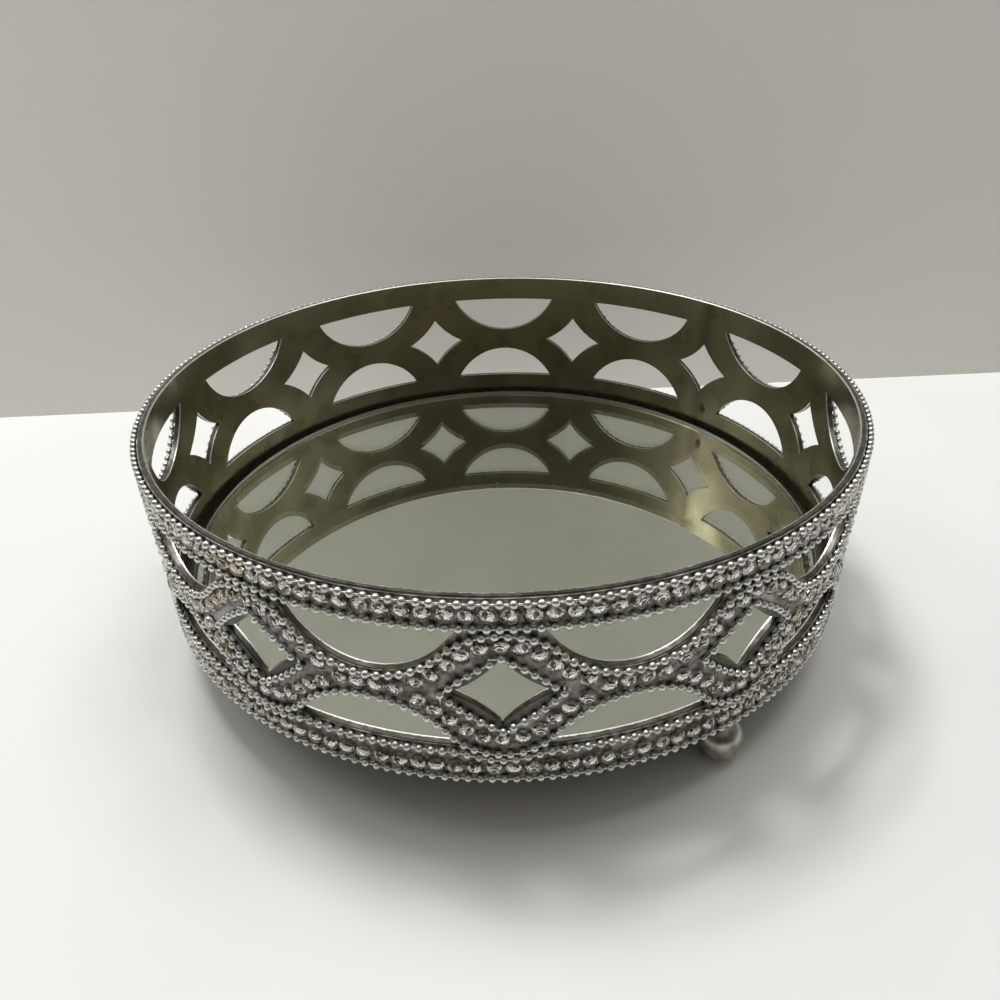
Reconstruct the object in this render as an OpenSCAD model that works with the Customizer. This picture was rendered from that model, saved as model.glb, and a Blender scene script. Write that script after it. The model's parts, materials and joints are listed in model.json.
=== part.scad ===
// Round mirror vanity tray: a rolled and pierced metal band on a disc base with ball feet, a mirror floor,
// and ball chains and rhinestones glued round the outside.
// Millimetres, +Z up. The origin is on the table under the middle of the tray, and the front is towards -Y.
// Angles round the wall are counted in degrees from the front, positive towards +X.

/* [Band] */
// Outside diameter of the bare band
band_d = 203.2; // [180:0.1:260]
// Thickness of the band's sheet
wall_t = 1.5; // [1:0.1:2]
// Height of the band
band_h = 52.4; // [51:0.1:56]
// Number of columns in the pierced pattern
columns = 11; // [9:1:12]
// Flattened edge along the rim
rim_chamfer = 0.3; // [0.1:0.05:0.5]

/* [Pierced pattern] */
// How far the pattern's middle line lies below the middle of the pierced part
mid_drop = 0.55; // [0:0.05:1]
// Radius of the arcs of the D windows
arc_r = 21.5; // [20.5:0.1:22.5]
// Metal left between an upper and a lower D window
neck_w = 8.2; // [7.8:0.1:9]
// Metal left above the upper windows
top_strip = 8.55; // [8:0.05:9]
// Metal left below the lower windows
bottom_strip = 10.75; // [10:0.05:11.5]
// Half the width of a diamond window
diamond_w = 11.15; // [10:0.05:12]
// How far a diamond's sides bow inwards
diamond_bow = 1; // [0.5:0.1:1.5]

/* [Base and feet] */
// Thickness of the base disc
plate_t = 1; // [0.8:0.1:2]
// Diameter of a ball foot
foot_d = 12.7; // [10:0.1:14]
// Height of a foot's turned neck
foot_neck_h = 3.7; // [3:0.1:6]
// Diameter of a foot's neck
foot_neck_d = 7; // [6:0.1:8]
// Diameter of the flat that a foot stands on
foot_flat_d = 4; // [3:0.1:5]
// Distance from the band's outside to a foot's axis
foot_inset = 4.6; // [4.6:0.1:20]
// Direction of the first foot, in degrees from the front
foot_turn = 34; // [0:1:119]
// Number of feet
feet = 3; // [3:1:3]

/* [Mirror] */
// Gap between the mirror and the band
mirror_gap = 2.1; // [1:0.1:6]
// Thickness of the mirror's glass
glass_t = 2.9; // [2:0.1:4]
// Ground edge round the top of the glass
glass_chamfer = 0.6; // [0.3:0.1:1]
// Thickness of the silver and paint behind the glass
coat_t = 0.1; // [0.05:0.01:0.2]
// Thickness of the adhesive discs
tape_t = 0.8; // [0.8:0.1:2]
// Diameter of an adhesive disc
tape_d = 30; // [20:1:40]
// Distance from the mirror's edge to the middle of an outer adhesive disc
tape_inset = 36; // [25:1:45]

/* [Foot screws] */
// Diameter of a screw's shank
screw_d = 2.9; // [2.5:0.1:3.4]
// Length of a screw's shank below its head
screw_l = 10; // [6:0.1:12]
// Diameter of a screw's head
screw_head_d = 5.5; // [4.5:0.1:7]
// Height of a screw's head
screw_head_h = 0.6; // [0.4:0.05:0.7]

/* [Ball chain] */
// Diameter of a bead
bead_d = 1.8; // [1.5:0.05:1.85]
// Distance from bead to bead along a chain
bead_pitch = 2.7; // [2.4:0.05:3.2]
// Bare metal between a window's arc and the bead beside it
edge_bare = 0.1; // [0:0.05:0.2]
// Bare metal between a straight edge and the bead beside it
strip_bare = 0.45; // [0.2:0.05:0.5]
// How far the chain over the lower stones dips under a diamond
chain_dip = 2.2; // [1.8:0.1:2.6]
// Half the width of that dip
chain_dip_w = 12.5; // [10:0.5:15]

/* [Rhinestones] */
// Diameter of a stone
stone_d = 3.9; // [3.4:0.05:4]
// Height of a stone
stone_h = 1.6; // [1.2:0.05:1.8]
// Height of a stone's girdle above its back
girdle_h = 0.35; // [0.2:0.05:0.5]
// Thickness of the girdle
girdle_t = 0.2; // [0.1:0.05:0.3]
// Diameter of a stone's flat top
table_d = 2.1; // [1.6:0.05:2.6]
// Distance from stone to stone
stone_pitch = 4.35; // [4.2:0.05:4.6]
// Thickness of the resin that chains and stones are set in
resin_t = 0.25; // [0.15:0.05:0.4]
// Bare metal round a window, outside the resin
resin_bare = 0.3; // [0.2:0.05:0.5]
// Bare resin left in all over and under the stones of an arch
row_bare = 0.3; // [0.1:0.05:0.6]

/* [Hidden] */
// Gap that stands for the glue under everything that is stuck on
glue_gap = 0.05;
// Gap between a screw and its hole
screw_gap = 0.1;
// Overrun of every cut
cut = 1;
band_r = band_d / 2;
bead_r = bead_d / 2;
stone_r = stone_d / 2;
foot_r = foot_d / 2;
foot_place_r = band_r - foot_inset;
mirror_r = band_r - wall_t - mirror_gap;
tape_place_r = mirror_r - tape_inset;
// Levels from the table up
plate_z = foot_d + foot_neck_h - foot_r + sqrt(pow(foot_r, 2) - pow(foot_flat_d / 2, 2));
band_z = plate_z + plate_t;
coat_z = band_z + tape_t;
glass_z = coat_z + coat_t;
// Levels above the foot of the band
upper_edge_z = band_h - top_strip;
mid_z = (bottom_strip + upper_edge_z) / 2 - mid_drop;
rim_chain_z = band_h - bead_r - glue_gap;
upper_strip_chain_z = upper_edge_z + strip_bare + bead_r;
lower_strip_chain_z = bottom_strip - strip_bare - bead_r;
foot_chain_z = bead_r + glue_gap;
top_stones_z = (rim_chain_z + upper_strip_chain_z) / 2;
bottom_stones_z = (foot_chain_z + lower_strip_chain_z - chain_dip) / 2;
// Radii of the pieces on the wall
resin_r = band_r + glue_gap;
stone_back_r = resin_r + resin_t + glue_gap;
chain_r = stone_back_r + bead_r;
// Where the cutters of the windows start, inside the wall even at a window's widest
window_in = sqrt(pow(band_r - wall_t, 2) - pow(arc_r + resin_bare, 2)) - cut;
// The wall unrolled at the chains: half a column, and the height of an arc's centre over the middle line
half_w = PI * chain_r / columns;
arc_c = arc_r + neck_w / 2;
column_deg = 360 / columns;
mm_to_deg = 180 / (PI * chain_r);
// Each run beside an arc: its radius about the arc's centre
chain_a = arc_r + edge_bare + bead_r;
stone_a = chain_a + bead_r + glue_gap + stone_r;
// How far each run's crest lies from the level of the arcs' centres
crest_level = mid_z + arc_c;
arch_h = crest_level - (upper_strip_chain_z - bead_d - glue_gap);
under_h = lower_strip_chain_z - chain_dip + bead_d + glue_gap - (mid_z - arc_c);
loop_w = diamond_w + bead_r + edge_bare;
loop_h = arc_c - arch_h - bead_d - stone_d - row_bare;
// Half the height of a diamond window, which is what the rows over it leave
diamond_h = loop_h - bead_r - edge_bare;
arch_stone_h = arc_c - (loop_h + arc_c - arch_h) / 2;
under_stone_h = arc_c - (loop_h + bead_r + glue_gap + stone_r);
// Most stones that fit in a neck between the last stones of the rows that meet there
neck_stones_n = floor(2 * (half_w - max(neck_end(arch_stone_h), neck_end(under_stone_h))) / stone_pitch) + 1;
$fn = 48;

// Radius of the arc over a crest that meets the arcs of radius a on both sides without a kink
function crest_r(a, h) = (pow(half_w, 2) + pow(h, 2) - pow(a, 2)) / (2 * (a - h));
// Angle from the crest at which the two arcs meet
function meet_deg(a, h) = atan2(half_w, h + crest_r(a, h));
function crest_len(a, h) = crest_r(a, h) * meet_deg(a, h) * PI / 180;
// Length of a run from its crest to the middle of the neck
function run_len(a, h) = crest_len(a, h) + a * meet_deg(a, h) * PI / 180;
// A point on a run, s from its crest: across the column, and away from the middle line
function run_point(a, h, s) = let(d = abs(s), t = meet_deg(a, h) - (d - crest_len(a, h)) / a * 180 / PI,
    c = d / crest_r(a, h) * 180 / PI, near = d < crest_len(a, h),
    u = near ? crest_r(a, h) * sin(c) : half_w - a * sin(t),
    v = near ? arc_c - h - crest_r(a, h) * (1 - cos(c)) : arc_c - a * cos(t)) [s < 0 ? -u : u, v];
// Most stones on each side of a crest before its row comes too near the row across the middle line
function side_stones(h) = let(end = acos((arc_c - stone_r - glue_gap) / stone_a))
    floor((crest_len(stone_a, h) + stone_a * (meet_deg(stone_a, h) - end) * PI / 180) / stone_pitch);
// Where a stone on the middle line just touches the last stone of a row
function neck_end(h) = let(p = run_point(stone_a, h, side_stones(h) * stone_pitch))
    p[0] + sqrt(max(0, pow(stone_d, 2) - pow(p[1], 2)));
// A place on the wall from its distance round the wall and its height above the foot of the band
function wall_point(u, z) = let(t = u * mm_to_deg - 90) [chain_r * cos(t), chain_r * sin(t), band_z + z];
// The dip of the chain over the lower stones, x from the middle of a diamond
function dip(x) = abs(x) < chain_dip_w ? chain_dip * (1 + cos(180 * x / chain_dip_w)) / 2 : 0;
// Distance round the wall from the nearest diamond
function from_diamond(u) = u - 2 * half_w * round(u / (2 * half_w));

// Beads of a ring at height z, which may dip under the diamonds
function ring_points(z, dips) = let(n = round(2 * columns * half_w / bead_pitch), w = 2 * columns * half_w / n)
    [for (i = [0:n - 1]) wall_point(i * w, z - (dips ? dip(from_diamond(i * w)) : 0))];
// Beads of a run all round the tray, side 1 above the middle line and -1 below it
function run_points(h, side) = let(l = run_len(chain_a, h), n = round(2 * l / bead_pitch))
    [for (c = [0:columns - 1], i = [0:n - 1]) let(p = run_point(chain_a, h, 2 * l * (i + 0.5) / n - l))
        wall_point(2 * half_w * c + p[0], mid_z + side * p[1])];
// Beads of the loop round the diamond of column c: four straight sides, a bead on each corner
function loop_points(c) = let(n = round(norm([loop_w, loop_h]) / bead_pitch),
    corners = [[loop_w, 0], [0, loop_h], [-loop_w, 0], [0, -loop_h]])
    [for (q = [0:3], i = [0:n - 1]) let(p = corners[q] + (corners[(q + 1) % 4] - corners[q]) * i / n)
        wall_point(2 * half_w * c + p[0], mid_z + p[1])];
// Radius of the arc that bows a diamond's side inwards, and the place of its centre
function side_r(w, h) = (pow(w, 2) + pow(h, 2)) / (8 * diamond_bow) + diamond_bow / 2;
function side_centre(w, h) = let(l = norm([w, h]), m = side_r(w, h) - diamond_bow)
    [w / 2 + m * h / l, h / 2 + m * w / l];

// A flat outline set upright on the wall and pushed out through it
module through_wall(deg, z) {
    rotate([0, 0, deg - 90]) translate([window_in, 0, z]) rotate([90, 0, 90])
        linear_extrude(resin_r + resin_t + cut - window_in) children();
}

// Outline of a D window with its arc downwards, drawn from the level of its straight edge and grown outwards
module d_outline(edge, grow) {
    intersection() {
        translate([0, mid_z + arc_c - edge]) circle(arc_r + grow, $fn = 96);
        translate([-arc_r - grow, -arc_r - grow]) square([2 * (arc_r + grow), arc_r + 3 * grow]);
    }
}

// Outline of a diamond window with sides that bow inwards
module diamond_outline(w, h) {
    difference() {
        square([2 * w + cut, 2 * h + cut], center = true);
        for (sx = [-1, 1], sy = [-1, 1]) translate([sx * side_centre(w, h)[0], sy * side_centre(w, h)[1]])
            circle(side_r(w, h), $fn = 96);
    }
}

module windows(grow) {
    for (c = [0:columns - 1]) {
        through_wall(c * column_deg, band_z + mid_z) diamond_outline(diamond_w + grow, diamond_h + grow);
        through_wall((c + 0.5) * column_deg, band_z + upper_edge_z) d_outline(upper_edge_z, grow);
        through_wall((c + 0.5) * column_deg, band_z + bottom_strip) mirror([0, 1])
            d_outline(2 * mid_z - bottom_strip, grow);
    }
}

// A ring with a square section round the tray's axis
module ring(r_in, r_out, z_low, z_high) {
    translate([0, 0, z_low]) difference() {
        cylinder(r = r_out, h = z_high - z_low, $fn = 180);
        translate([0, 0, -cut]) cylinder(r = r_in, h = z_high - z_low + 2 * cut, $fn = 180);
    }
}

module pierced_band() {
    color("#8a8a7c") difference() {
        translate([0, 0, band_z]) rotate_extrude($fn = 180) polygon([[band_r - wall_t, 0], [band_r, 0],
            [band_r, band_h - rim_chamfer], [band_r - rim_chamfer, band_h],
            [band_r - wall_t + rim_chamfer, band_h], [band_r - wall_t, band_h - rim_chamfer]]);
        windows(0);
    }
}

module at_foot(i) {
    rotate([0, 0, foot_turn - 90 + i * 360 / feet]) translate([foot_place_r, 0, 0]) children();
}

module base_plate() {
    color("#6f6f68") difference() {
        translate([0, 0, plate_z]) cylinder(r = band_r, h = plate_t, $fn = 180);
        for (i = [0:feet - 1]) at_foot(i) translate([0, 0, plate_z - cut])
            cylinder(d = screw_d + 2 * screw_gap, h = plate_t + 2 * cut);
    }
}

module foot(i) {
    ball_z = sqrt(pow(foot_r, 2) - pow(foot_flat_d / 2, 2));
    color("#a8a296") at_foot(i) difference() {
        union() {
            translate([0, 0, ball_z]) sphere(d = foot_d, $fn = 64);
            translate([0, 0, ball_z]) cylinder(d = foot_neck_d, h = plate_z - ball_z);
        }
        translate([0, 0, -foot_d]) cylinder(r = foot_d, h = foot_d);
        translate([0, 0, plate_z + plate_t - screw_l - cut])
            cylinder(d = screw_d + 2 * screw_gap, h = screw_l + 2 * cut);
    }
}

module foot_front_right() { foot(0); }
module foot_back_right() { foot(1); }
module foot_left() { foot(2); }

module foot_screws() {
    color("#b9b9b4") for (i = [0:feet - 1]) at_foot(i) {
        translate([0, 0, band_z - screw_l]) cylinder(d = screw_d, h = screw_l);
        translate([0, 0, band_z]) cylinder(d = screw_head_d, h = screw_head_h);
    }
}

module mirror_glass() {
    color("#c9cdc4") translate([0, 0, glass_z]) rotate_extrude($fn = 180) polygon([[0, 0], [mirror_r, 0],
        [mirror_r, glass_t - glass_chamfer], [mirror_r - glass_chamfer, glass_t], [0, glass_t]]);
}

module mirror_silvering() {
    color("#dcdcdc") translate([0, 0, coat_z]) cylinder(r = mirror_r, h = coat_t, $fn = 180);
}

module mirror_tape() {
    color("#e8e6e0") {
        translate([0, 0, band_z]) cylinder(d = tape_d, h = tape_t);
        for (i = [0:feet - 1]) rotate([0, 0, foot_turn - 90 + (i + 0.5) * 360 / feet])
            translate([tape_place_r, 0, band_z]) cylinder(d = tape_d, h = tape_t);
    }
}

module top_ring_resin() {
    color("#8f8f92") ring(resin_r, resin_r + resin_t, band_z + upper_edge_z + resin_bare,
        band_z + band_h - rim_chamfer);
}

module bottom_ring_resin() {
    color("#8f8f92") ring(resin_r, resin_r + resin_t, band_z, band_z + bottom_strip - resin_bare);
}

// The resin of the lattice, on all the metal between the windows
module lattice_resin() {
    color("#8f8f92") difference() {
        ring(resin_r, resin_r + resin_t, band_z + bottom_strip - resin_bare, band_z + upper_edge_z + resin_bare);
        windows(resin_bare);
    }
}

// The beads of a chain through the given points, each glued on
module ball_chain(points) {
    color("#c9cbcc") for (p = points) translate(p) sphere(d = bead_d, $fn = 16);
}

module top_ring_upper_chain() { ball_chain(ring_points(rim_chain_z, false)); }
module top_ring_lower_chain() { ball_chain(ring_points(upper_strip_chain_z, false)); }
module bottom_ring_upper_chain() { ball_chain(ring_points(lower_strip_chain_z, true)); }
module bottom_ring_lower_chain() { ball_chain(ring_points(foot_chain_z, false)); }
module arch_chain() { ball_chain(run_points(arch_h, 1)); }
module underarch_chain() { ball_chain(run_points(under_h, -1)); }
module diamond_chains() { for (c = [0:columns - 1]) ball_chain(loop_points(c)); }

// A round faceted stone, its back on the resin and its flat top outwards
module stone(u, z) {
    rotate([0, 0, u * mm_to_deg - 90]) translate([stone_back_r, 0, band_z + z]) rotate([0, 90, 0])
        rotate_extrude($fn = 24) polygon([[0, 0], [stone_r - girdle_h, 0], [stone_r, girdle_h],
            [stone_r, girdle_h + girdle_t], [table_d / 2, stone_h], [0, stone_h]]);
}

module ring_of_stones(z) {
    n = floor(2 * columns * half_w / stone_pitch);
    color("#d9d2c6") for (i = [0:n - 1]) stone(2 * columns * half_w * (i + 0.5) / n, z);
}

module crest_stones(h, side) {
    color("#d9d2c6") for (c = [0:columns - 1], i = [-side_stones(h):side_stones(h)]) {
        p = run_point(stone_a, h, i * stone_pitch);
        stone(2 * half_w * c + p[0], mid_z + side * p[1]);
    }
}

module top_ring_stones() { ring_of_stones(top_stones_z); }
module bottom_ring_stones() { ring_of_stones(bottom_stones_z); }
module arch_stones() { crest_stones(arch_stone_h, 1); }
module underarch_stones() { crest_stones(under_stone_h, -1); }
module neck_stones() {
    color("#d9d2c6") for (c = [0:columns - 1], i = [0:neck_stones_n - 1])
        stone((2 * c + 1) * half_w + (i - (neck_stones_n - 1) / 2) * stone_pitch, mid_z);
}

pierced_band();
base_plate();
mirror_glass();
mirror_silvering();
mirror_tape();
foot_front_right();
foot_back_right();
foot_left();
foot_screws();
top_ring_resin();
top_ring_upper_chain();
top_ring_lower_chain();
top_ring_stones();
lattice_resin();
arch_chain();
underarch_chain();
diamond_chains();
arch_stones();
underarch_stones();
neck_stones();
bottom_ring_resin();
bottom_ring_upper_chain();
bottom_ring_lower_chain();
bottom_ring_stones();
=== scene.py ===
"""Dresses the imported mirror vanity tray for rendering.

The CAD frame gives every solid. This script gives the metal, glass and resin their finishes, and makes in full detail
what the CAD keeps plain: ball chains with their links, foil-backed rhinestones with cut facets, the silver behind the
mirror and the solder on the band's seam.

Sizes in the classes are millimetres and become metres through MM. Angles round the wall run from the front,
positive towards +X, as in the CAD source.
"""

import json
import logging
import math
from collections.abc import Callable, Sequence
from dataclasses import dataclass
from enum import Enum
from functools import partial
from typing import Any

import bpy
from bpy.types import ID, Material, Mesh, NodeTree, Object
from mathutils import Matrix, Vector

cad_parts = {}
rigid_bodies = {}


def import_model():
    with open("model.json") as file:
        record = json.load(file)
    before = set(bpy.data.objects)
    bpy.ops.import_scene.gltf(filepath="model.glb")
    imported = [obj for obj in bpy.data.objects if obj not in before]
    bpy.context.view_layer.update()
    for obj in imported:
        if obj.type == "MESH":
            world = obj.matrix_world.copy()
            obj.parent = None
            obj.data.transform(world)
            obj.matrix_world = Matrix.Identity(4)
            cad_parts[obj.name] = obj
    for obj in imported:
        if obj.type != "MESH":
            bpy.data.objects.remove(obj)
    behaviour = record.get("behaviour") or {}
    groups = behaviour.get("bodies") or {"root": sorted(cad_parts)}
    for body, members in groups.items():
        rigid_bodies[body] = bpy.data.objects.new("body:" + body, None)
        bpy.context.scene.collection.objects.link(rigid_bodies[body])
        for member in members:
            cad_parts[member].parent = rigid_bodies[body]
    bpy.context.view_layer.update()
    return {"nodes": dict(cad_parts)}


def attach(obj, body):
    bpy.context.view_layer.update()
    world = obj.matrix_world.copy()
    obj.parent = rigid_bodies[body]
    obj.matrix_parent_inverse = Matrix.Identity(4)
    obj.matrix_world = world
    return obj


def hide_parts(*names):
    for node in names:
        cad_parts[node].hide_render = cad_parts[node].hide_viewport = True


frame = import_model()

MM = 0.001
LOG = logging.getLogger("tray")
Socket = bpy.types.NodeSocket
Adder = Callable[..., Socket]
Pair = tuple[float, float]
Triple = tuple[float, float, float]


class Slot(Enum):
    """Material slots of the record."""

    BAND = "band_metal"
    SILVER = "silvering"
    CHAIN = "bead_chain"
    STONE = "rhinestone"


class Sum(Enum):
    """Arithmetic that a node does."""

    PLUS = "ADD"
    MINUS = "SUBTRACT"
    TIMES = "MULTIPLY"
    OVER = "DIVIDE"
    TIMES_PLUS = "MULTIPLY_ADD"
    LARGER = "MAXIMUM"
    SIZE = "ABSOLUTE"
    WHOLE = "ROUND"
    ANGLE = "ARCTAN2"


class Kind(Enum):
    """Other kinds of node that come up often.

    Each holds Blender's name, the inputs that a call fills in order, the output that it hands on, and its settings.
    """

    PLACE = ("ShaderNodeTexCoord", (), "Object", {})
    NORMAL = ("ShaderNodeTexCoord", (), "Normal", {})
    MARK = ("ShaderNodeAttribute", (), "Fac", {})
    NOISE = ("ShaderNodeTexNoise", ("Vector", "Scale", "Detail"), 0, {})
    RAMP = ("ShaderNodeMapRange", (0, 1, 2, 3, 4), 0, {"interpolation_type": "SMOOTHSTEP"})
    MIX = ("ShaderNodeMix", (0, 6, 7), 2, {"data_type": "RGBA"})
    BUMP = ("ShaderNodeBump", ("Height", "Distance", "Strength"), 0, {})
    COAT = ("ShaderNodeBsdfPrincipled", ("Base Color", "Metallic", "Roughness", "Normal"), 0, {})
    SPLIT = ("ShaderNodeSeparateXYZ", (0,), 2, {})
    JOIN = ("ShaderNodeCombineXYZ", (0, 1, 2), 0, {})
    LENGTH = ("ShaderNodeVectorMath", (0,), "Value", {"operation": "LENGTH"})
    SCALE = ("ShaderNodeVectorMath", (0, "Scale"), 0, {"operation": "SCALE"})
    RANDOM = ("FunctionNodeRandomValue", (2, 3, "Seed"), 1, {"data_type": "FLOAT"})
    SHIFT = ("GeometryNodeSetPosition", ("Geometry", "Offset"), 0, {})
    SET_OUT = ("GeometryNodeInstanceOnPoints", ("Points", "Instance", "Rotation", "Scale"), 0, {})
    TINT = ("GeometryNodeStoreNamedAttribute", ("Geometry", "Name", "Value"), 0,
            {"data_type": "FLOAT", "domain": "INSTANCE"})


def linear(code: str) -> tuple[float, float, float, float]:
    """Turns an sRGB hex colour into linear light.

    Args:
        code: Colour as six hex digits after a hash.

    Returns:
        Linear red, green and blue, and full opacity.
    """
    parts = [int(code[i:i + 2], 16) / 255 for i in (1, 3, 5)]
    red, green, blue = (c / 12.92 if c <= 0.04045 else ((c + 0.055) / 1.055) ** 2.4 for c in parts)
    return (red, green, blue, 1.0)


def add_node(tree: NodeTree, kind: Kind | Sum | str, *values: Any, **settings: Any) -> Socket | None:
    """Adds a node to a tree with its settings, values and links.

    Args:
        tree: Tree that gets the node.
        kind: What the node is, or Blender's name for it.
        *values: Numbers, hex colours or sockets that feed its inputs in order, or one dictionary by input.
        **settings: Properties of the node itself.

    Returns:
        The output that the kind hands on or else its first, or None where the node has none.
    """
    if isinstance(kind, Sum):
        kind, settings = "ShaderNodeMath", {"operation": kind.value}
    name, order, give, fixed = kind.value if isinstance(kind, Kind) else (kind, range(len(values)), 0, {})
    node = tree.nodes.new(name)
    for key, value in (fixed | settings).items():
        setattr(node, key, value)
    feeds = values[0] if values and isinstance(values[0], dict) else dict(zip(order, values))
    for key, value in feeds.items():
        if isinstance(value, Socket):
            tree.links.new(value, node.inputs[key])
        else:
            node.inputs[key].default_value = linear(value) if str(value).startswith("#") else value
    return node.outputs[give] if node.outputs else None


def show(name: str, data: ID) -> Object:
    """Puts a mesh, lamp or camera in the scene.

    Args:
        name: Name of the object.
        data: What it holds.

    Returns:
        The object, at the origin.
    """
    piece = bpy.data.objects.new(name, data)
    bpy.context.scene.collection.objects.link(piece)
    return piece


def wire(name: str, verts: Sequence, edges: Sequence = (), faces: Sequence = ()) -> Mesh:
    """Makes a mesh from points in metres, edges and faces.

    Args:
        name: Name of the mesh.
        verts: Its points.
        edges: Pairs of points.
        faces: Loops of points.

    Returns:
        The mesh, which no object holds yet.
    """
    mesh = bpy.data.meshes.new(name)
    mesh.from_pydata(verts, edges, faces)
    return mesh


@dataclass(frozen=True)
class Pattern:
    """The wall's pattern in millimetres, with the values of the CAD source."""

    band_r: float = 101.6
    wall_t: float = 1.5
    band_h: float = 52.4
    band_z: float = 17.0768
    columns: int = 11
    mid_z: float = 26.75
    arc_r: float = 21.5
    neck_w: float = 8.2
    top_strip: float = 8.55
    bottom_strip: float = 10.75
    diamond_w: float = 11.15
    diamond_h: float = 9.6
    bead_d: float = 1.8
    bead_pitch: float = 2.7
    edge_bare: float = 0.1
    strip_bare: float = 0.45
    chain_dip: float = 2.2
    chain_dip_w: float = 12.5
    stone_d: float = 3.9
    stone_h: float = 1.6
    stone_pitch: float = 4.35
    side_stones: int = 5
    neck_stones: int = 4
    resin_t: float = 0.25
    glue_gap: float = 0.05

    @property
    def bead_r(self) -> float:
        """Radius of a bead."""
        return self.bead_d / 2

    @property
    def stone_back_r(self) -> float:
        """Distance from the axis to the backs of the stones, on the resin."""
        return self.band_r + self.glue_gap + self.resin_t + self.glue_gap

    @property
    def chain_r(self) -> float:
        """Distance from the axis to the middles of the beads."""
        return self.stone_back_r + self.bead_r

    @property
    def half_w(self) -> float:
        """Half the width of a column, round the wall at the beads."""
        return math.pi * self.chain_r / self.columns

    @property
    def column_w(self) -> float:
        """Width of a column, round the wall at the beads."""
        return 2 * self.half_w

    @property
    def around(self) -> float:
        """Length round the wall at the beads."""
        return 2 * self.columns * self.half_w

    @property
    def arc_c(self) -> float:
        """Height of the windows' arc centres over the middle line."""
        return self.arc_r + self.neck_w / 2

    @property
    def rim_chain_z(self) -> float:
        """Level of the chain under the rim, above the foot of the band."""
        return self.band_h - self.bead_r - self.glue_gap

    @property
    def upper_strip_chain_z(self) -> float:
        """Level of the chain under the top stones."""
        return self.band_h - self.top_strip + self.strip_bare + self.bead_r

    @property
    def lower_strip_chain_z(self) -> float:
        """Level of the chain over the bottom stones, away from its dips."""
        return self.bottom_strip - self.strip_bare - self.bead_r

    @property
    def foot_chain_z(self) -> float:
        """Level of the lowest chain."""
        return self.bead_r + self.glue_gap

    @property
    def chain_a(self) -> float:
        """Radius of a chain round a window's arc."""
        return self.arc_r + self.edge_bare + self.bead_r

    @property
    def stone_a(self) -> float:
        """Radius of a row of stones round a window's arc."""
        return self.chain_a + self.bead_r + self.glue_gap + self.stone_d / 2

    @property
    def arch_h(self) -> float:
        """Depth of the arch chain's crest below the arcs' centres."""
        return self.mid_z + self.arc_c - (self.upper_strip_chain_z - self.bead_d - self.glue_gap)

    @property
    def under_h(self) -> float:
        """Depth of the lower chain's crest past the arcs' centres."""
        low = self.lower_strip_chain_z - self.chain_dip + self.bead_d + self.glue_gap
        return low - (self.mid_z - self.arc_c)

    @property
    def loop(self) -> Pair:
        """Half width and half height of the loop round a diamond."""
        grow = self.bead_r + self.edge_bare
        return (self.diamond_w + grow, self.diamond_h + grow)

    @property
    def arch_stone_h(self) -> float:
        """Depth of the arch stones' crest below the arcs' centres."""
        return self.arc_c - (self.loop[1] + self.arc_c - self.arch_h) / 2

    @property
    def under_stone_h(self) -> float:
        """Depth of the lower stones' crest past the arcs' centres."""
        return self.arc_c - (self.loop[1] + self.bead_r + self.glue_gap + self.stone_d / 2)

    def wall_point(self, along: float, height: float, radius: float) -> Vector:
        """Places a point on the wall.

        Args:
            along: Distance round the wall from the front, at the beads.
            height: Height above the foot of the band.
            radius: Distance from the axis.

        Returns:
            The point in metres.
        """
        turn = along / self.chain_r
        return Vector((radius * math.sin(turn), -radius * math.cos(turn), self.band_z + height)) * MM

    def dip(self, along: float) -> float:
        """Tells how far the chain over the bottom stones dips.

        Args:
            along: Distance round the wall from the front.

        Returns:
            The dip, none away from the diamonds.
        """
        away = abs(along - self.column_w * round(along / self.column_w))
        if away >= self.chain_dip_w:
            return 0.0
        return self.chain_dip * (1 + math.cos(math.pi * away / self.chain_dip_w)) / 2

    def crest(self, reach: float, depth: float) -> Triple:
        """Solves the arc over a crest that meets the arcs beside it without a kink.

        Args:
            reach: Radius of the arcs beside it, about the windows' centres.
            depth: Depth of the crest from the level of those centres.

        Returns:
            The crest's radius, the angle where it ends, and its length.
        """
        radius = (self.half_w ** 2 + depth ** 2 - reach ** 2) / (2 * (reach - depth))
        meet = math.atan2(self.half_w, depth + radius)
        return (radius, meet, radius * meet)

    def run_point(self, reach: float, depth: float, along: float) -> Pair:
        """A point on a run over a crest and down beside its windows.

        Args:
            reach: Radius of the run about the windows' centres.
            depth: Depth of its crest from the level of those centres.
            along: Distance along the run from its crest.

        Returns:
            Distance across the column, and height away from the middle line.
        """
        radius, meet, length = self.crest(reach, depth)
        done = abs(along)
        if done < length:
            turn = done / radius
            across, up = radius * math.sin(turn), self.arc_c - depth - radius * (1 - math.cos(turn))
        else:
            turn = meet - (done - length) / reach
            across, up = self.half_w - reach * math.sin(turn), self.arc_c - reach * math.cos(turn)
        return (-across if along < 0 else across, up)

    def run_length(self, reach: float, depth: float) -> float:
        """Length of a run from its crest to the middle of the neck."""
        _, meet, length = self.crest(reach, depth)
        return length + reach * meet


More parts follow.
